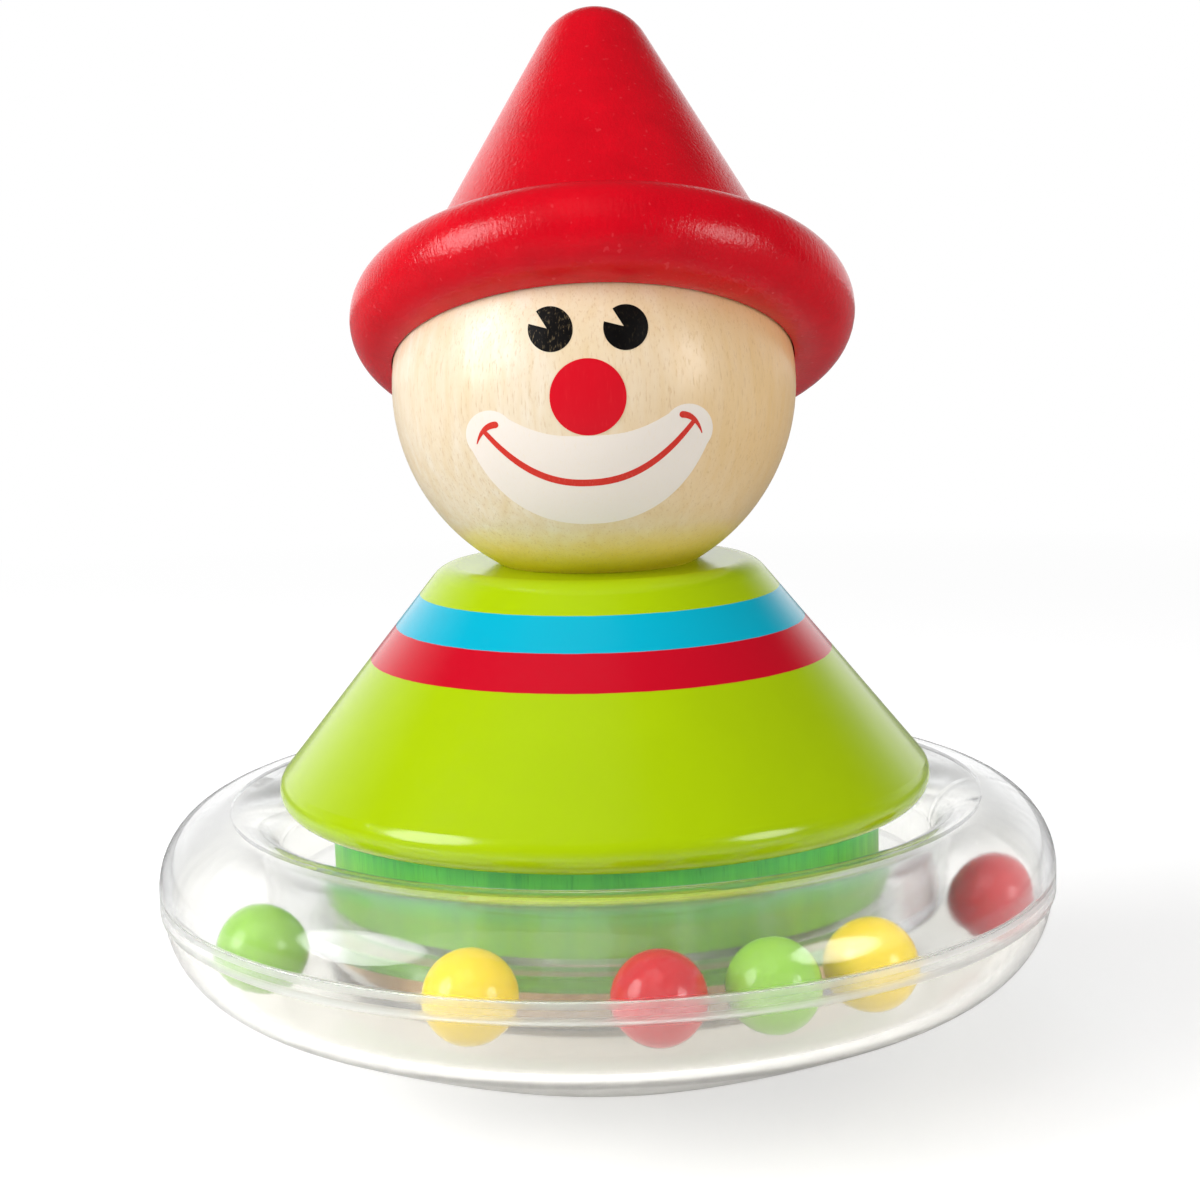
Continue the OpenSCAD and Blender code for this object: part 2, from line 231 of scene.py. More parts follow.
class ToyColours(bpy.types.PropertyGroup):
    """Colours of paint, wood, ink and plastic"""

    hat_red: colour("Hat red", "Paint of the hat", srgb(222, 4, 28))
    hat_speck: colour("Hat specks", "Pale specks in the hat's paint", srgb(236, 70, 78))
    wood_pale: colour("Pale wood", "Lacquered wood of the head", srgb(245, 231, 209))
    wood_dark: colour("Grain", "Darker lines of the wood", srgb(231, 202, 150))
    wood_side_tint: colour("Side tint", "Warmer, darker tone towards one side of the head", srgb(246, 192, 100))
    # Yellow bounce light from the green body, painted on the head near the neck
    painted_bounce_yellow: colour("Painted bounce yellow", "Yellow bounce light from the green body, painted near the neck", srgb(255, 220, 14))
    wood_pore: colour("Pores", "Pores of the wood", srgb(205, 158, 96))
    bare_wood: colour("Bare wood", "Wood without lacquer", srgb(214, 176, 124))
    body_green: colour("Body green", "Main paint of the body", srgb(172, 202, 0))
    stripe_blue: colour("Stripe blue", "Paint of the upper stripe", srgb(0, 176, 205))
    stripe_red: colour("Stripe red", "Paint of the lower stripe", srgb(200, 8, 34))
    # The spigot's teal top tone and its grain are painted shade under the cone
    spigot_shade_teal: colour("Shaded spigot teal", "Thin paint at the top of the spigot, teal with painted shade", srgb(100, 202, 84))
    spigot_low: colour("Lower spigot", "Thin paint lower on the spigot", srgb(118, 172, 0))
    spigot_shade_grain: colour("Shaded upper grain", "Grain at the top of the spigot, darkened with painted shade", srgb(40, 142, 84))
    spigot_lower_grain: colour("Lower grain", "Grain lower on the spigot", srgb(84, 150, 40))
    spigot_pore: colour("Spigot pores", "Pores under the thin paint", srgb(40, 110, 50))
    foot_grain: colour("Foot grain", "Grain of the spigot's bare foot", srgb(168, 128, 80))
    ink_black: colour("Black ink", "Ink of the eyes", srgb(8, 6, 6))
    ink_red: colour("Red ink", "Ink of the nose", srgb(218, 8, 32))
    ink_red_worn: colour("Worn red", "Where the nose's ink is thin", srgb(236, 60, 60))
    ink_white: colour("White ink", "Ink of the mouth", srgb(246, 236, 226))
    ink_smile: colour("Smile ink", "Ink of the smile", srgb(218, 52, 40))
    ink_smile_worn: colour("Worn smile", "Where the smile's ink is thin", srgb(236, 110, 96))
    bead_green: colour("Green bead", "Plastic of the green beads", srgb(130, 178, 58))
    bead_yellow: colour("Yellow bead", "Plastic of the yellow beads", srgb(218, 190, 30))
    bead_red: colour("Red bead", "Plastic of the red beads", srgb(182, 0, 10))
    clear: colour("Clear plastic", "Tint of the upper shell", (0.96, 0.965, 0.965))
    milky: colour("Milky plastic", "Tint of the rocking dome", (0.955, 0.945, 0.915))
    steel: colour("Steel", "Weight and screw", srgb(176, 178, 180))
    floor: colour("Floor", "Pale studio floor", (0.86, 0.86, 0.86))


# Node trees


class Wiring:
    """Adds nodes to one tree and joins them by socket."""

    def __init__(self, tree):
        self.tree = tree

    def add(self, kind, values=None, **settings):
        """A new node with its inputs and settings."""
        node = self.tree.nodes.new(kind)
        for name, value in settings.items():
            setattr(node, name, value)
        for key, value in (values or {}).items():
            self.put(node.inputs[key], value)
        return node

    def put(self, socket, value):
        """Joins a socket to another one, or sets its value."""
        if isinstance(value, bpy.types.NodeSocket):
            self.tree.links.new(value, socket)
        elif socket.type == "RGBA" and len(value) == 3:
            socket.default_value = (*value, 1)
        else:
            socket.default_value = value

    def calc(self, operation, first, second=0.0):
        """One calculation with plain numbers."""
        return self.add("ShaderNodeMath", {0: first, 1: second}, operation=operation).outputs[0]

    def plus(self, first, second):
        return self.calc("ADD", first, second)

    def times(self, first, second):
        return self.calc("MULTIPLY", first, second)

    def vector(self, operation, first, second):
        """One calculation with vectors."""
        values = {0: first, 1: second}
        return self.add("ShaderNodeVectorMath", values, operation=operation).outputs[0]

    def joined(self, x=0.0, y=0.0, z=0.0):
        return self.add("ShaderNodeCombineXYZ", {0: x, 1: y, 2: z}).outputs[0]

    def axes(self, vector):
        return self.add("ShaderNodeSeparateXYZ", {0: vector}).outputs

    def reach(self, vector):
        """The length of a vector."""
        values = {0: vector}
        return self.add("ShaderNodeVectorMath", values, operation="LENGTH").outputs["Value"]

    def span(self, value, low, high, to_low=0.0, to_high=1.0):
        """Brings a value from one range to another and holds it there."""
        values = {
            "Value": value,
            "From Min": low,
            "From Max": high,
            "To Min": to_low,
            "To Max": to_high,
        }
        return self.add("ShaderNodeMapRange", values).outputs["Result"]

    def blend(self, share, first, second):
        """Goes from one colour to another as the share goes from 0 to 1."""
        node = self.add("ShaderNodeMix", data_type="RGBA")
        for index, value in ((0, share), (6, first), (7, second)):
            self.put(node.inputs[index], value)
        return node.outputs[2]

    def laid(self, base, over, mask, share):
        """Lays a colour over another by a share of a mask."""
        return self.blend(self.times(mask, share), base, over)

    def noise(self, vector, scale, detail=2.0, roughness=0.5, distortion=0.0):
        values = {
            "Vector": vector,
            "Scale": scale,
            "Detail": detail,
            "Roughness": roughness,
            "Distortion": distortion,
        }
        return self.add("ShaderNodeTexNoise", values).outputs[0]


def shared_group(name, inputs, outputs):
    """An empty shader group with float inputs, one vector input and float outputs."""
    tree = bpy.data.node_groups.new(name, "ShaderNodeTree")
    tree.interface.new_socket("Vector", in_out="INPUT", socket_type="NodeSocketVector")
    for socket, default in inputs:
        made = tree.interface.new_socket(socket, in_out="INPUT", socket_type="NodeSocketFloat")
        made.default_value = default
    for socket in outputs:
        tree.interface.new_socket(socket, in_out="OUTPUT", socket_type="NodeSocketFloat")
    wiring = Wiring(tree)
    return tree, wiring, wiring.add("NodeGroupInput").outputs, wiring.add("NodeGroupOutput")


def wood_figure_group():
    """Growth lines, short pores and slow bands that run along the piece's own axis."""
    tree, w, given, out = shared_group(
        "wood_figure",
        (("Across", 900.0), ("Along", 60.0), ("Seed", 0.0)),
        ("Figure", "Pores", "Bands"),
    )
    stretch = w.joined(given["Across"], given["Across"], given["Along"])
    stretched = w.vector("MULTIPLY", given["Vector"], stretch)
    placed = w.vector("ADD", stretched, w.joined(given["Seed"], given["Seed"]))
    figure = w.noise(placed, scale=0.55, detail=3.0, roughness=0.55, distortion=0.35)
    pores = w.noise(placed, scale=3.2, detail=2.0, roughness=0.6)
    bands = w.noise(placed, scale=0.12, detail=2.0, roughness=0.5, distortion=0.8)
    w.put(out.inputs["Figure"], w.span(figure, NOISE_LOW, NOISE_HIGH))
    w.put(out.inputs["Pores"], w.span(pores, low=0.56, high=0.72))
    w.put(out.inputs["Bands"], w.span(bands, low=0.35, high=0.65))
    return tree


def paint_film_group():
    """Sprayed paint over wood: fine peel, raised grain and slow changes of depth."""
    tree, w, given, out = shared_group(
        "paint_film",
        (("Peel", 2200.0), ("Across", 2600.0), ("Along", 520.0), ("Seed", 0.0)),
        ("Height", "Depth", "Speck"),
    )
    peel_share, grain_share = 0.55, 0.45
    slow_share, speck_share = 0.09, 0.55
    placed = w.vector("ADD", given["Vector"], w.joined(given["Seed"], given["Seed"]))
    peel = w.noise(placed, given["Peel"], detail=3.0, roughness=0.6)
    stretch = w.joined(given["Across"], given["Across"], given["Along"])
    grain = w.noise(w.vector("MULTIPLY", placed, stretch), scale=1.0, detail=2.0, roughness=0.55)
    slow_scale = w.times(given["Peel"], slow_share)
    slow = w.noise(placed, slow_scale, detail=3.0, roughness=0.55, distortion=0.4)
    specks = w.noise(placed, w.times(given["Peel"], speck_share), detail=1.0, roughness=0.5)
    height = w.plus(w.times(peel, peel_share), w.times(grain, grain_share))
    w.put(out.inputs["Height"], height)
    w.put(out.inputs["Depth"], w.span(slow, NOISE_LOW, NOISE_HIGH))
    w.put(out.inputs["Speck"], w.span(specks, low=0.7, high=0.76))
    return tree


def handling_group():
    """Faint scuffs and finger haze on smooth plastic."""
    tree, w, given, out = shared_group(
        "handling", (("Fine", 900.0), ("Seed", 0.0)), ("Haze", "Scuffs")
    )
    haze_share = 0.06
    placed = w.vector("ADD", given["Vector"], w.joined(0.0, given["Seed"], given["Seed"]))
    haze_scale = w.times(given["Fine"], haze_share)
    haze = w.noise(placed, haze_scale, detail=3.0, roughness=0.55, distortion=0.6)
    scuffs = w.noise(placed, given["Fine"], detail=4.0, roughness=0.7)
    w.put(out.inputs["Haze"], w.span(haze, low=0.35, high=0.7))
    w.put(out.inputs["Scuffs"], w.span(scuffs, low=0.6, high=0.75))
    return tree


SHARED = {}


def placed_group(w, name, vector, **values):
    """One of the shared groups inside a material, with its own values."""
    makers = {
        "wood_figure": wood_figure_group,
        "paint_film": paint_film_group,
        "handling": handling_group,
    }
    if name not in SHARED:
        SHARED[name] = makers[name]()
    node = w.add("ShaderNodeGroup", node_tree=SHARED[name])
    w.put(node.inputs["Vector"], vector)
    for key, value in values.items():
        node.inputs[key].default_value = value
    return node.outputs


def new_material(name):
    """A material with one Principled shader, its wiring and its Object coordinates."""
    material = bpy.data.materials.new(name)
    material.use_nodes = True
    material.node_tree.nodes.clear()
    w = Wiring(material.node_tree)
    out = w.add("ShaderNodeOutputMaterial")
    shader = w.add("ShaderNodeBsdfPrincipled")
    w.put(out.inputs["Surface"], shader.outputs[0])
    place = w.add("ShaderNodeTexCoord").outputs["Object"]
    return material, w, shader, place


def finish(w, shader, values):
    """Sets or feeds the shader's inputs by name."""
    for key, value in values.items():
        w.put(shader.inputs[key], value)


def relief(w, shader, height, depth, strength):
    """Feeds a height in metres to the shader's normal."""
    bump = w.add("ShaderNodeBump", {"Height": height, "Distance": depth, "Strength": strength})
    w.put(shader.inputs["Normal"], bump.outputs[0])


def turned(w, place, middle, tilt):
    """Object coordinates about a tilted axis through a point."""
    values = {"Vector": place, "Location": middle, "Rotation": (tilt, 0, 0)}
    return w.add("ShaderNodeMapping", values, vector_type="TEXTURE").outputs[0]


def hat_paint(tints, sizes):
    """Satin red paint on turned wood, with the raised grain of the crown."""
    material, w, shader, place = new_material("hat_paint")
    along = turned(w, place, (0, 0, sizes.head_height), -sizes.hat_tilt)
    film = placed_group(w, "paint_film", along, Peel=2800.0, Across=3200.0, Along=700.0)
    deep = darker(tints.hat_red, share=0.72)
    base = w.laid(tints.hat_red, deep, film["Depth"], share=0.5)
    base = w.laid(base, tints.hat_speck, film["Speck"], share=0.35)
    rough = w.span(film["Height"], NOISE_LOW, NOISE_HIGH, to_low=0.16, to_high=0.26)
    finish(w, shader, {"Base Color": base, "Roughness": rough, "Specular IOR Level": 0.3})
    relief(w, shader, film["Height"], depth=0.1 * MM, strength=0.8)
    return material


def head_wood(tints, sizes):
    """Lacquered pale wood with fine upright grain, warmer at one side, with yellow bounce light from
    the green body painted on near the neck.
    """
    material, w, shader, place = new_material("head_wood")
    radius, middle = sizes.head_radius, sizes.head_height
    warmth_start = -0.2 * radius
    neck_full, neck_gone = middle - 0.84 * radius, middle - 0.62 * radius
    grain = placed_group(w, "wood_figure", place, Across=2000.0, Along=330.0, Seed=3.7)
    base = w.laid(tints.wood_pale, tints.wood_dark, grain["Figure"], share=0.5)
    base = w.laid(base, tints.wood_dark, grain["Bands"], share=0.35)
    x, _, z = w.axes(place)
    # Warmer, darker tone towards the head's right side
    side_warmth = w.span(x, warmth_start, radius, to_low=0, to_high=0.62)
    base = w.blend(side_warmth, base, tints.wood_side_tint)
    # Painted bounce light: yellow from the green body below, strongest at the neck
    neck = w.span(z, neck_full, neck_gone, to_low=0.92, to_high=0)
    base = w.blend(neck, base, tints.painted_bounce_yellow)
    base = w.laid(base, tints.wood_pore, grain["Pores"], share=0.34)
    rough = w.span(grain["Figure"], 0, 1, to_low=0.3, to_high=0.4)
    finish(w, shader, {"Base Color": base, "Roughness": rough})
    finish(w, shader, {"Coat Weight": 0.2, "Coat Roughness": 0.2})
    relief(w, shader, grain["Pores"], depth=-0.03 * MM, strength=0.6)
    return material


def bare_wood(tints):
    """Plain turned wood of the hidden dowels."""
    material, w, shader, place = new_material("bare_wood")
    grain = placed_group(w, "wood_figure", place, Across=1100.0, Along=80.0, Seed=9.1)
    dark = darker(tints.bare_wood, share=0.62)
    base = w.laid(tints.bare_wood, dark, grain["Figure"], share=0.6)
    base = w.laid(base, dark, grain["Pores"], share=0.5)
    rough = w.span(grain["Figure"], 0, 1, to_low=0.55, to_high=0.7)
    finish(w, shader, {"Base Color": base, "Roughness": rough})
    relief(w, shader, grain["Pores"], depth=-0.04 * MM, strength=0.5)
    return material


def body_paint(tints, sizes):
    """Gloss green paint with two stripes; the spigot has thin paint, teal and darker at its top as
    painted shade under the cone, and a bare foot.
    """
    material, w, shader, place = new_material("body_paint")
    film = placed_group(w, "paint_film", place, Peel=1500.0, Across=2200.0, Along=300.0, Seed=1.3)
    grain = placed_group(w, "wood_figure", place, Across=1400.0, Along=110.0, Seed=5.2)
    height = w.axes(place)[2]
    wander = w.calc("SUBTRACT", w.noise(place, scale=700.0, detail=2.0), NOISE_MIDDLE)
    edge = w.plus(height, w.times(wander, sizes.edge_ragged))

    def above(level):
        return w.span(edge, level - sizes.edge_soft, level + sizes.edge_soft)

    deep = darker(tints.body_green, share=0.9)
    green = w.laid(tints.body_green, deep, film["Depth"], share=0.35)
    # Painted shade: teal and darker at the spigot's top, under the cone
    upper = w.laid(tints.spigot_shade_teal, tints.spigot_shade_grain, grain["Figure"], share=0.45)
    lower = w.laid(tints.spigot_low, tints.spigot_lower_grain, grain["Figure"], share=0.45)
    thin = w.blend(w.span(height, sizes.spigot_turn, sizes.spigot_top), lower, upper)
    thin = w.laid(thin, tints.spigot_pore, grain["Pores"], share=0.3)
    bare = w.laid(tints.bare_wood, tints.foot_grain, grain["Figure"], share=0.5)
    low = w.blend(above(sizes.paint_foot), bare, thin)
    base = w.blend(above(sizes.cone_foot + sizes.edge_lap), low, green)
    base = w.blend(above(sizes.red_foot), base, tints.stripe_red)
    base = w.blend(above(sizes.blue_foot), base, tints.stripe_blue)
    base = w.blend(above(sizes.blue_top), base, green)
    gloss = w.span(film["Height"], NOISE_LOW, NOISE_HIGH, to_low=0.12, to_high=0.2)
    matt = w.span(above(sizes.cone_foot), 0, 1, to_low=0.25, to_high=0)
    rough = w.plus(gloss, matt)
    finish(w, shader, {"Base Color": base, "Roughness": rough, "Specular IOR Level": 0.4})
    relief(w, shader, film["Height"], depth=0.02 * MM, strength=0.4)
    return material


def ink(name, tint, under, wear, seed):
    """Printed ink on the ball, through which a little of the grain shows."""
    material, w, shader, place = new_material(name)
    grain = placed_group(w, "wood_figure", place, Across=2200.0, Along=260.0, Seed=seed)
    base = w.laid(tint, under, grain["Pores"], wear)
    rough = w.span(grain["Figure"], 0, 1, to_low=0.3, to_high=0.42)
    finish(w, shader, {"Base Color": base, "Roughness": rough, "Specular IOR Level": 0.25})
    relief(w, shader, grain["Pores"], depth=-0.01 * MM, strength=0.3)
    return material


def bead_plastic(name, tint, seed):
    """Gloss moulded plastic with a faint swirl."""
    material, w, shader, place = new_material(name)
    touch = placed_group(w, "handling", place, Fine=1400.0, Seed=seed)
    base = w.laid(tint, darker(tint, share=0.8), touch["Haze"], share=0.5)
    rough = w.span(touch["Scuffs"], 0, 1, to_low=0.13, to_high=0.24)
    finish(w, shader, {"Base Color": base, "Roughness": rough, "Specular IOR Level": 0.35})
    relief(w, shader, touch["Scuffs"], depth=0.004 * MM, strength=0.3)
    return material


def weld_frost(w, place, sizes):
    """1 on the two frosted lines of the welded seam, at its foot and at the tongue's top."""
    x, y, z = w.axes(place)
    outside = w.calc("GREATER_THAN", w.reach(w.joined(x, y)), sizes.base_radius - sizes.weld_depth)
    clear_share = 0.4

    def line(level):
        away = w.calc("ABSOLUTE", w.calc("SUBTRACT", z, level))
        return w.span(away, clear_share * sizes.weld_half, sizes.weld_half, to_low=1, to_high=0)

    lines = w.calc("MAXIMUM", line(sizes.tongue_top), line(sizes.tongue_top - sizes.tongue_height))
    return w.times(lines, outside)


def clear_plastic(name, tint, clearness, seed, sizes):
    """Clear plastic, a little milky and frosted at the weld, that lets lamps through."""
    material, w, shader, place = new_material(name)
    touch = placed_group(w, "handling", place, Fine=1000.0, Seed=seed)
    haze = w.span(touch["Haze"], 0, 1, to_low=0.07, to_high=0.12)
    scuffs = w.span(touch["Scuffs"], 0, 1, to_low=0, to_high=0.05)
    frost = w.span(weld_frost(w, place, sizes), 0, 1, to_low=0, to_high=0.5)
    rough = w.plus(w.plus(haze, scuffs), frost)
    finish(w, shader, {"Base Color": tint, "Roughness": rough})
    finish(w, shader, {"IOR": 1.36, "Transmission Weight": clearness})
    lamps = w.add("ShaderNodeBsdfTransparent", {"Color": darker(tint, share=0.9)})
    share = w.add("ShaderNodeLightPath").outputs["Is Shadow Ray"]
    both = w.add("ShaderNodeMixShader", {0: share, 1: shader.outputs[0], 2: lamps.outputs[0]})
    out = next(n for n in material.node_tree.nodes if n.type == "OUTPUT_MATERIAL")
    w.put(out.inputs["Surface"], both.outputs[0])
    return material


def turned_steel(tints):
    """Lathe-turned steel of the weight and the screw."""
    material, w, shader, place = new_material("turned_steel")
    x, y, z = w.axes(place)
    rings = w.joined(w.reach(w.joined(x, y)), z)
    lines = w.noise(rings, scale=4200.0, detail=2.0, roughness=0.6)
    touch = placed_group(w, "handling", place, Fine=700.0, Seed=2.0)
    base = w.laid(tints.steel, darker(tints.steel, share=0.6), touch["Haze"], share=0.6)
    rough = w.span(lines, NOISE_LOW, NOISE_HIGH, to_low=0.24, to_high=0.42)
    finish(w, shader, {"Base Color": base, "Roughness": rough, "Metallic": 1})
    relief(w, shader, lines, depth=0.01 * MM, strength=0.5)
    return material


# Meshes


def dress(node, material):
    """Gives a carried CAD node its material."""
    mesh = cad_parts[node].data
    mesh.materials.clear()
    mesh.materials.append(material)


def finished_object(name, mesh, material):
    """A new object at the origin with one material and smooth faces."""
    mesh.materials.clear()
    mesh.materials.append(material)
    mesh.shade_smooth()
    made = bpy.data.objects.new(name, mesh)
    bpy.context.scene.collection.objects.link(made)
    return made


def closed_film(bm, middle, sunk):
    """Gives a skin an underside at a radius round a middle, and closes the edge between them."""
    skin = set(bm.faces)
    for f in skin:
        if f.normal.dot(f.calc_center_median() - middle) < 0:
            f.normal_flip()
    copied = bmesh.ops.duplicate(bm, geom=list(bm.faces))
    under = [g for g in copied["geom"] if isinstance(g, bmesh.types.BMFace)]
    for v in {v for f in under for v in f.verts}:
        v.co = middle + (v.co - middle).normalized() * sunk
    for f in under:
        f.normal_flip()
    pairs = copied["edge_map"]
    rim = [e for e in bm.edges if e.is_boundary and e in pairs and e.link_faces[0] in skin]
    for edge in rim:
        a, b = edge.verts
        c, d = pairs[edge].verts
        if (a.co - c.co).length > (a.co - d.co).length:
            c, d = d, c
        bm.faces.new((a, b, d, c))
    bmesh.ops.recalc_face_normals(bm, faces=bm.faces)


def ink_film(name, rows, layer, sizes, face, material):
    """Lays rows of points, given as the face is seen from the front, on the ball as a thin film."""
    radius = sizes.head_radius + face.lift * layer
    bm = bmesh.new()
    grid = []
    for row in rows:
        line = []
        for x, z in row:
            depth = math.sqrt(radius * radius - x * x - z * z)
            line.append(bm.verts.new((x, -depth, z + sizes.head_height)))
        grid.append(line)
    for lower, upper in zip(grid, grid[1:]):
        for a, b, c, d in zip(lower, lower[1:], upper[1:], upper):
            bm.faces.new((a, b, c, d))
    bmesh.ops.remove_doubles(bm, verts=bm.verts, dist=FILM_MERGE)
    bmesh.ops.dissolve_degenerate(bm, edges=bm.edges, dist=FILM_SLIVER)
    closed_film(bm, Vector((0, 0, sizes.head_height)), sizes.head_radius - face.lift)
    mesh = bpy.data.meshes.new(name)
    bm.to_mesh(mesh)
    bm.free()
    made = finished_object(name, mesh, material)
    mesh.set_sharp_from_angle(angle=FILM_EDGE)
    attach(made, FIGURE)


def cut_disc(x, z, radius, start, end, apex=(0.0, 0.0), rings=10, steps=72):
    """Rows of a disc about an apex, from one angle round to another; a full turn gives a whole disc."""
    inset = radius * radius - apex[0] ** 2 - apex[1] ** 2
    rows = []
    for ring in range(rings + 1):
        share = ring / rings
        row = []
        for step in range(steps + 1):
            turn = start + (end - start) * step / steps
            ux, uz = math.cos(turn), math.sin(turn)
            along = apex[0] * ux + apex[1] * uz
            reach = (math.sqrt(along * along + inset) - along) * share
            row.append((x + apex[0] + ux * reach, z + apex[1] + uz * reach))
        rows.append(row)
    return rows


def stroke(path, half, steps=96, cross=9, cap_steps=10):
    """Rows across a line of changing half thickness, with round ends."""
    near = 1e-4

    def frame_at(t):
        a, b = path(max(t - near, 0)), path(min(t + near, 1))
        dx, dz = b[0] - a[0], b[1] - a[1]
        size = math.hypot(dx, dz)
        return path(t), (dx / size, dz / size)

    def row(middle, way, reach):
        shares = [2 * i / (cross - 1) - 1 for i in range(cross)]
        return [(middle[0] - way[1] * reach * s, middle[1] + way[0] * reach * s) for s in shares]

    def cap(t, sign):
        middle, way = frame_at(t)
        rows = []
        for step in range(cap_steps + 1):
            turn = math.pi / 2 * step / cap_steps
            ahead = sign * half(t) * math.sin(turn)
            at = (middle[0] + way[0] * ahead, middle[1] + way[1] * ahead)
            rows.append(row(at, way, half(t) * math.cos(turn)))
        return rows

    rows = [row(*frame_at(i / steps), half(i / steps)) for i in range(steps + 1)]
    return cap(0, -1)[:0:-1] + rows + cap(1, 1)[1:]


def bow(face, half, drop, rise, bend, lean):
    """The path of a line that turns up towards both ends."""

    def path(t):
        s = 2 * t - 1
        return face.face_shift + half * s, -drop + rise * abs(s) ** bend + lean * s

    return path


def hook_path(end, side):
    """The path of the small hook across an end of the smile."""

    def curve(terms, u):
        plain, straight, bent = terms
        return (plain + straight * u + bent * u * u) * MM

    def path(t):
        u = 2 * t - 1
        return end[0] + side * curve(HOOK_OUT_TERMS, u), end[1] + curve(HOOK_UP_TERMS, u)

    return path


def bead_tree():
    """Geometry nodes for one bead at its place on the ring."""
    tree = bpy.data.node_groups.new("bead_on_ring", "GeometryNodeTree")
    tree.interface.new_socket("Geometry", in_out="OUTPUT", socket_type="NodeSocketGeometry")
    for socket, kind in (
        ("Radius", "NodeSocketFloat"),
        ("Track", "NodeSocketFloat"),
        ("Height", "NodeSocketFloat"),
        ("Turn", "NodeSocketFloat"),
        ("Fineness", "NodeSocketInt"),
        ("Material", "NodeSocketMaterial"),
    ):
        tree.interface.new_socket(socket, in_out="INPUT", socket_type=kind)
    w = Wiring(tree)
    given = w.add("NodeGroupInput").outputs
    ball = w.add(
        "GeometryNodeMeshIcoSphere", {"Radius": given["Radius"], "Subdivisions": given["Fineness"]}
    )
    smooth = w.add("GeometryNodeSetShadeSmooth", {"Geometry": ball.outputs["Mesh"]})
    out_to = w.joined(x=given["Track"], z=given["Height"])
    moved = w.add(
        "GeometryNodeTransform", {"Geometry": smooth.outputs[0], "Translation": out_to}
    ).outputs[0]
    turn = w.joined(z=given["Turn"])
    euler = w.add("FunctionNodeEulerToRotation", {0: turn}).outputs[0]
    placed = w.add("GeometryNodeTransform", {"Geometry": moved, "Rotation": euler}).outputs[0]
    real = w.add("GeometryNodeRealizeInstances", {"Geometry": placed}).outputs[0]
    painted = w.add("GeometryNodeSetMaterial", {"Geometry": real, "Material": given["Material"]})
    w.put(w.add("NodeGroupOutput").inputs["Geometry"], painted.outputs[0])
    return tree


def grown(name, tree, values):
    """Runs a geometry tree on an empty mesh and returns the plain result as an object."""
    seed = bpy.data.objects.new(name + "_seed", bpy.data.meshes.new(name + "_seed"))
    bpy.context.scene.collection.objects.link(seed)
    modifier = seed.modifiers.new("grow", "NODES")
    modifier.node_group = tree
    for item in tree.interface.items_tree:
        if item.in_out == "INPUT" and item.name in values:
            modifier[item.identifier] = values[item.name]
    view = bpy.context.evaluated_depsgraph_get()
    mesh = bpy.data.meshes.new_from_object(seed.evaluated_get(view), depsgraph=view)
    seed.modifiers.remove(modifier)
    bpy.data.objects.remove(seed)
    mesh.name = name
    made = bpy.data.objects.new(name, mesh)
    bpy.context.scene.collection.objects.link(made)
    return made


# Operators, one for each piece or group of like pieces


class TOY_OT_hat(bpy.types.Operator):
    """Paint the pointed hat"""

    bl_idname = "toy.hat"
    bl_label = "Hat"

    def execute(self, context):
        dress("hat", hat_paint(context.scene.toy_colours, context.scene.toy_sizes))
        return {"FINISHED"}


class TOY_OT_head(bpy.types.Operator):
    """Lacquer the ball head"""

    bl_idname = "toy.head"
    bl_label = "Head"

    def execute(self, context):
        dress("head", head_wood(context.scene.toy_colours, context.scene.toy_sizes))
        return {"FINISHED"}


class TOY_OT_face(bpy.types.Operator):
    """Print eyes, nose, mouth and smile on the head"""

    bl_idname = "toy.face"
    bl_label = "Printed face"

    def execute(self, context):
        scene = context.scene
        tints, sizes, face = scene.toy_colours, scene.toy_sizes, scene.toy_face
        self.eyes(tints, sizes, face)
        self.nose(tints, sizes, face)
        self.mouth(tints, sizes, face)
        self.smile(tints, sizes, face)
        return {"FINISHED"}

    def eyes(self, tints, sizes, face):
        inks = {
            "eye_left": ink("ink_worn", tints.ink_black, tints.wood_dark, wear=0.2, seed=4.0),
            "eye_right": ink("ink_black", tints.ink_black, tints.wood_dark, wear=0.03, seed=4.0),
        }
        for name, side, apex in EYES:
            rows = cut_disc(
                side * face.eye_spread + face.eye_shift,
                face.eye_rise,
                face.eye_radius,
                face.eye_cut_start,
                face.eye_cut_end + 2 * math.pi,
                (apex[0] * MM, apex[1] * MM),
            )
            ink_film(name, rows, UNDER_LAYER, sizes, face, inks[name])

    def nose(self, tints, sizes, face):
        red = ink("ink_red", tints.ink_red, tints.ink_red_worn, wear=0.15, seed=6.0)
        rows = cut_disc(face.face_shift, face.nose_rise, face.nose_radius, 0, 2 * math.pi, rings=14)
        ink_film("nose", rows, OVER_LAYER, sizes, face, red)

    def mouth(self, tints, sizes, face):
        white = ink("ink_white", tints.ink_white, tints.wood_pale, wear=0.4, seed=8.0)
        path = bow(
            face, face.mouth_half, face.mouth_drop, face.mouth_rise, face.mouth_bend, face.mouth_lean
        )

        def half(t):
            s = abs(2 * t - 1)
            return face.mouth_thick + (face.mouth_end - face.mouth_thick) * s**face.mouth_taper

        ink_film("mouth", stroke(path, half, cross=25), UNDER_LAYER, sizes, face, white)

    def smile(self, tints, sizes, face):
        line = ink("ink_smile", tints.ink_smile, tints.ink_smile_worn, wear=0.3, seed=2.0)
        path = bow(
            face, face.smile_half, face.smile_drop, face.smile_rise, face.smile_bend, face.smile_lean
        )

        def half(t):
            return face.smile_thick * (1 - face.smile_loss * abs(2 * t - 1) ** face.smile_taper)

        def hook_half(t):
            return face.smile_thick * (face.hook_start - face.hook_loss * t**face.hook_taper)

        ink_film("smile", stroke(path, half), OVER_LAYER, sizes, face, line)
        for name, side in HOOKS:
            end = path((1 + side) / 2)
            rows = stroke(hook_path(end, side), hook_half, steps=40, cross=7)
            ink_film(name, rows, HOOK_LAYER, sizes, face, line)


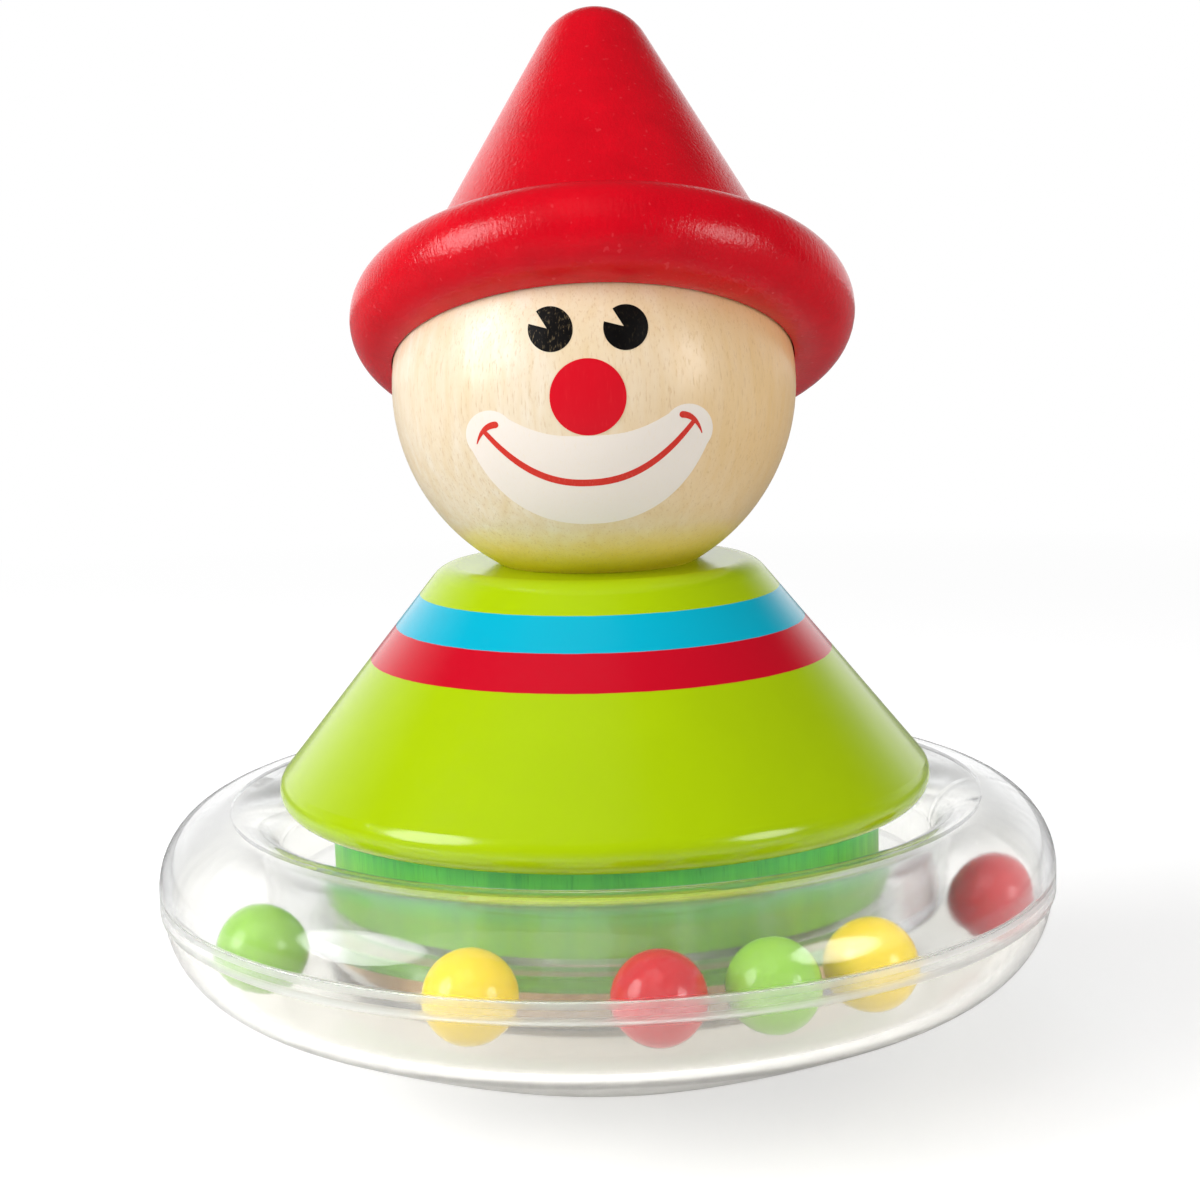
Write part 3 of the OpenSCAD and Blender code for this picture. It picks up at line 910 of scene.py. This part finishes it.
class TOY_OT_body(bpy.types.Operator):
    """Paint the cone body with its stripes"""

    bl_idname = "toy.body"
    bl_label = "Body"

    def execute(self, context):
        dress("body", body_paint(context.scene.toy_colours, context.scene.toy_sizes))
        return {"FINISHED"}


class TOY_OT_base(bpy.types.Operator):
    """Clear the two shells of the rocking base"""

    bl_idname = "toy.base"
    bl_label = "Clear base"

    def execute(self, context):
        tints, sizes = context.scene.toy_colours, context.scene.toy_sizes
        upper = clear_plastic("clear_upper", tints.clear, clearness=0.985, seed=1.0, sizes=sizes)
        lower = clear_plastic("clear_lower", tints.milky, clearness=0.92, seed=7.0, sizes=sizes)
        dress("upper_shell", upper)
        dress("lower_shell", lower)
        return {"FINISHED"}


class TOY_OT_beads(bpy.types.Operator):
    """Lay the beads in the ring"""

    bl_idname = "toy.beads"
    bl_label = "Beads"

    def execute(self, context):
        tints, sizes = context.scene.toy_colours, context.scene.toy_sizes
        tree = bead_tree()
        plastics = {
            name: bead_plastic("bead_" + name, getattr(tints, "bead_" + name), seed)
            for name, seed in (("green", 1.0), ("yellow", 2.5), ("red", 4.0))
        }
        for node, name in BEADS:
            low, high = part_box(node)
            middle = (low + high) / 2
            values = {
                "Radius": sizes.bead_radius,
                "Track": sizes.bead_track,
                "Height": middle.z,
                "Turn": math.atan2(middle.y, middle.x),
                "Fineness": sizes.bead_facets,
                "Material": plastics[name],
            }
            ball = grown(node.replace("bead", "ball"), tree, values)
            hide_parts(node)
            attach(ball, node + "_ball")
        return {"FINISHED"}


class TOY_OT_inside(bpy.types.Operator):
    """Finish the dowels, the weight and the screw"""

    bl_idname = "toy.inside"
    bl_label = "Inner pieces"

    def execute(self, context):
        tints = context.scene.toy_colours
        wood, steel = bare_wood(tints), turned_steel(tints)
        for node in ("hat_dowel", "neck_dowel"):
            dress(node, wood)
        for node in ("weight", "base_screw"):
            dress(node, steel)
        return {"FINISHED"}


def softbox(name, bearing, rise, away, size, level, mirrored):
    """A soft lamp that lights a white card to this level, placed by degrees to the right and up."""
    lamp = bpy.data.lights.new(name, "AREA")
    lamp.shape = "ELLIPSE"
    lamp.size, lamp.size_y = size
    lamp.energy = math.pi**2 * level * away**2
    side, up = math.radians(bearing), math.radians(rise)
    way = Vector((math.sin(side) * math.cos(up), -math.cos(side) * math.cos(up), math.sin(up)))
    made = bpy.data.objects.new(name, lamp)
    made.location = LAMP_AIM + way * away
    made.rotation_euler = (-way).to_track_quat("-Z", "Y").to_euler()
    made.visible_glossy = mirrored
    bpy.context.scene.collection.objects.link(made)


def shown_rays(w):
    """1 for rays that show the background itself, straight or through clear plastic."""
    path = w.add("ShaderNodeLightPath").outputs
    straight = w.calc("LESS_THAN", path["Glossy Depth"], ONE_BOUNCE)
    shown = w.calc("MAXIMUM", path["Is Camera Ray"], path["Is Transmission Ray"])
    return w.times(shown, straight)


def inner_rays(w):
    """1 for rays thrown about inside clear plastic before they leave it."""
    path = w.add("ShaderNodeLightPath").outputs
    passed = w.calc("GREATER_THAN", path["Transmission Depth"], ONE_BOUNCE)
    thrown = w.calc("GREATER_THAN", path["Glossy Depth"], ONE_BOUNCE)
    sharp = w.calc("SUBTRACT", 1.0, path["Is Diffuse Ray"])
    return w.times(w.times(passed, thrown), sharp)


def mirrored_rays(w):
    """1 for rays that show the background in a glossy surface."""
    return w.add("ShaderNodeLightPath").outputs["Is Glossy Ray"]


class TOY_OT_stage(bpy.types.Operator):
    """Set up the pale floor, the lamps and the camera"""

    bl_idname = "toy.stage"
    bl_label = "Stage"

    def execute(self, context):
        scene = context.scene
        self.floor(scene)
        self.world(scene)
        for lamp in LAMPS:
            softbox(*lamp)
        self.camera(scene)
        scene.view_settings.view_transform = "Standard"
        return {"FINISHED"}

    def floor(self, scene):
        signs = ((-1, -1), (1, -1), (1, 1), (-1, 1))
        corners = [(x * FLOOR_HALF, y * FLOOR_HALF, -FLOOR_DROP) for x, y in signs]
        mesh = bpy.data.meshes.new("floor")
        mesh.from_pydata(corners, [], [(0, 1, 2, 3)])
        mesh.materials.append(self.floor_material(scene.toy_colours.floor))
        floor = bpy.data.objects.new("floor", mesh)
        scene.collection.objects.link(floor)

    def floor_material(self, tint):
        material = bpy.data.materials.new("studio_floor")
        material.use_nodes = True
        material.node_tree.nodes.clear()
        w = Wiring(material.node_tree)
        path = w.add("ShaderNodeLightPath").outputs
        far = w.span(w.reach(w.add("ShaderNodeTexCoord").outputs["Object"]), SWEEP_START, SWEEP_END)

        # A card that keeps the shadow, lifted for the camera and for rays through plastic
        card = w.add("ShaderNodeBsdfDiffuse", {"Color": tint})
        lift = w.span(path["Is Camera Ray"], 0, 1, GLOW_THROUGH, GLOW_STRAIGHT)
        lift = w.times(w.calc("MAXIMUM", shown_rays(w), inner_rays(w)), lift)
        glow = w.add("ShaderNodeEmission", {"Strength": lift})
        near = w.add("ShaderNodeAddShader", {0: card.outputs[0], 1: glow.outputs[0]})

        # A white sweep further out
        mirrored = w.span(inner_rays(w), 0, 1, SWEEP_MIRRORED, SWEEP_INSIDE)
        sweep = w.plus(shown_rays(w), w.times(mirrored_rays(w), mirrored))
        white = w.add("ShaderNodeEmission", {"Strength": sweep})
        top = w.add("ShaderNodeMixShader", {0: far, 1: near.outputs[0], 2: white.outputs[0]})

        # Dim where paint and wood high above mirror it, and gone from below
        outer = w.calc("SUBTRACT", mirrored_rays(w), inner_rays(w))
        outer = w.times(outer, w.span(path["Ray Length"], DIM_START, DIM_END))
        outer = w.times(outer, w.span(far, 0, 1, DIM_NEAR_SHARE, DIM_FAR_SHARE))
        dim = w.add("ShaderNodeEmission", {"Strength": DIM_LEVEL})
        top = w.add("ShaderNodeMixShader", {0: outer, 1: top.outputs[0], 2: dim.outputs[0]})
        under = w.add("ShaderNodeNewGeometry").outputs["Backfacing"]
        gone = w.add("ShaderNodeBsdfTransparent")
        top = w.add("ShaderNodeMixShader", {0: under, 1: top.outputs[0], 2: gone.outputs[0]})
        w.put(w.add("ShaderNodeOutputMaterial").inputs["Surface"], top.outputs[0])
        return material

    def world(self, scene):
        world = bpy.data.worlds.new("studio")
        world.use_nodes = True
        world.node_tree.nodes.clear()
        w = Wiring(world.node_tree)
        x, y, z = w.axes(w.add("ShaderNodeTexCoord").outputs["Generated"])
        behind = w.span(y, BEHIND_START, BEHIND_END)
        raised = w.plus(z, w.times(w.calc("MINIMUM", x, 0.0), LEFT_RISE_SHARE))
        low = w.span(raised, LOW_FULL, LOW_GONE, to_low=1, to_high=0)
        sweep = w.span(w.times(behind, low), 0, 1, SKY_FRONT, SKY_BEHIND)
        mirrored = mirrored_rays(w)
        plain = w.span(mirrored, 0, 1, SKY_PLAIN, 0)
        level = w.plus(plain, w.times(mirrored, sweep))
        level = w.calc("MAXIMUM", level, w.times(inner_rays(w), SKY_INSIDE))
        level = w.calc("MAXIMUM", level, shown_rays(w))
        sky = w.add("ShaderNodeBackground", {"Color": (1, 1, 1, 1), "Strength": level})
        w.put(w.add("ShaderNodeOutputWorld").inputs["Surface"], sky.outputs[0])
        scene.world = world

    def camera(self, scene):
        data = bpy.data.cameras.new("camera")
        data.sensor_width, data.lens = CAMERA_SENSOR, CAMERA_LENS
        data.clip_start, data.clip_end = CAMERA_NEAR, CAMERA_FAR
        made = bpy.data.objects.new("camera", data)
        turn = (CAMERA_AIM - CAMERA_PLACE).to_track_quat("-Z", "Y").to_matrix().to_4x4()
        roll = Matrix.Rotation(CAMERA_ROLL, 4, "Z")
        made.matrix_world = Matrix.Translation(CAMERA_PLACE) @ turn @ roll
        scene.collection.objects.link(made)
        scene.camera = made


class TOY_PT_panel(bpy.types.Panel):
    """Lists the toy's pieces"""

    bl_label = "Roly poly clown"
    bl_idname = "TOY_PT_panel"
    bl_space_type = "VIEW_3D"
    bl_region_type = "UI"
    bl_category = "Toy"

    def draw(self, context):
        for operator in OPERATORS:
            self.layout.operator(operator.bl_idname)
        for name in ("toy_sizes", "toy_face", "toy_colours"):
            group = getattr(context.scene, name)
            box = self.layout.box()
            for key in group.__annotations__:
                box.prop(group, key)


OPERATORS = (
    TOY_OT_stage,
    TOY_OT_hat,
    TOY_OT_head,
    TOY_OT_face,
    TOY_OT_body,
    TOY_OT_base,
    TOY_OT_beads,
    TOY_OT_inside,
)
CLASSES = (ToySizes, FaceSizes, ToyColours, *OPERATORS, TOY_PT_panel)


def register():
    """Adds the classes and the settings."""
    for cls in CLASSES:
        bpy.utils.register_class(cls)
    bpy.types.Scene.toy_sizes = PointerProperty(type=ToySizes)
    bpy.types.Scene.toy_face = PointerProperty(type=FaceSizes)
    bpy.types.Scene.toy_colours = PointerProperty(type=ToyColours)


def unregister():
    """Removes the settings and the classes."""
    for name in ("toy_sizes", "toy_face", "toy_colours"):
        delattr(bpy.types.Scene, name)
    for cls in reversed(CLASSES):
        bpy.utils.unregister_class(cls)


def main():
    """Makes every piece in order."""
    register()
    bpy.ops.toy.stage()
    bpy.ops.toy.hat()
    bpy.ops.toy.head()
    bpy.ops.toy.face()
    bpy.ops.toy.body()
    bpy.ops.toy.base()
    bpy.ops.toy.beads()
    bpy.ops.toy.inside()


if __name__ == "__main__":
    main()
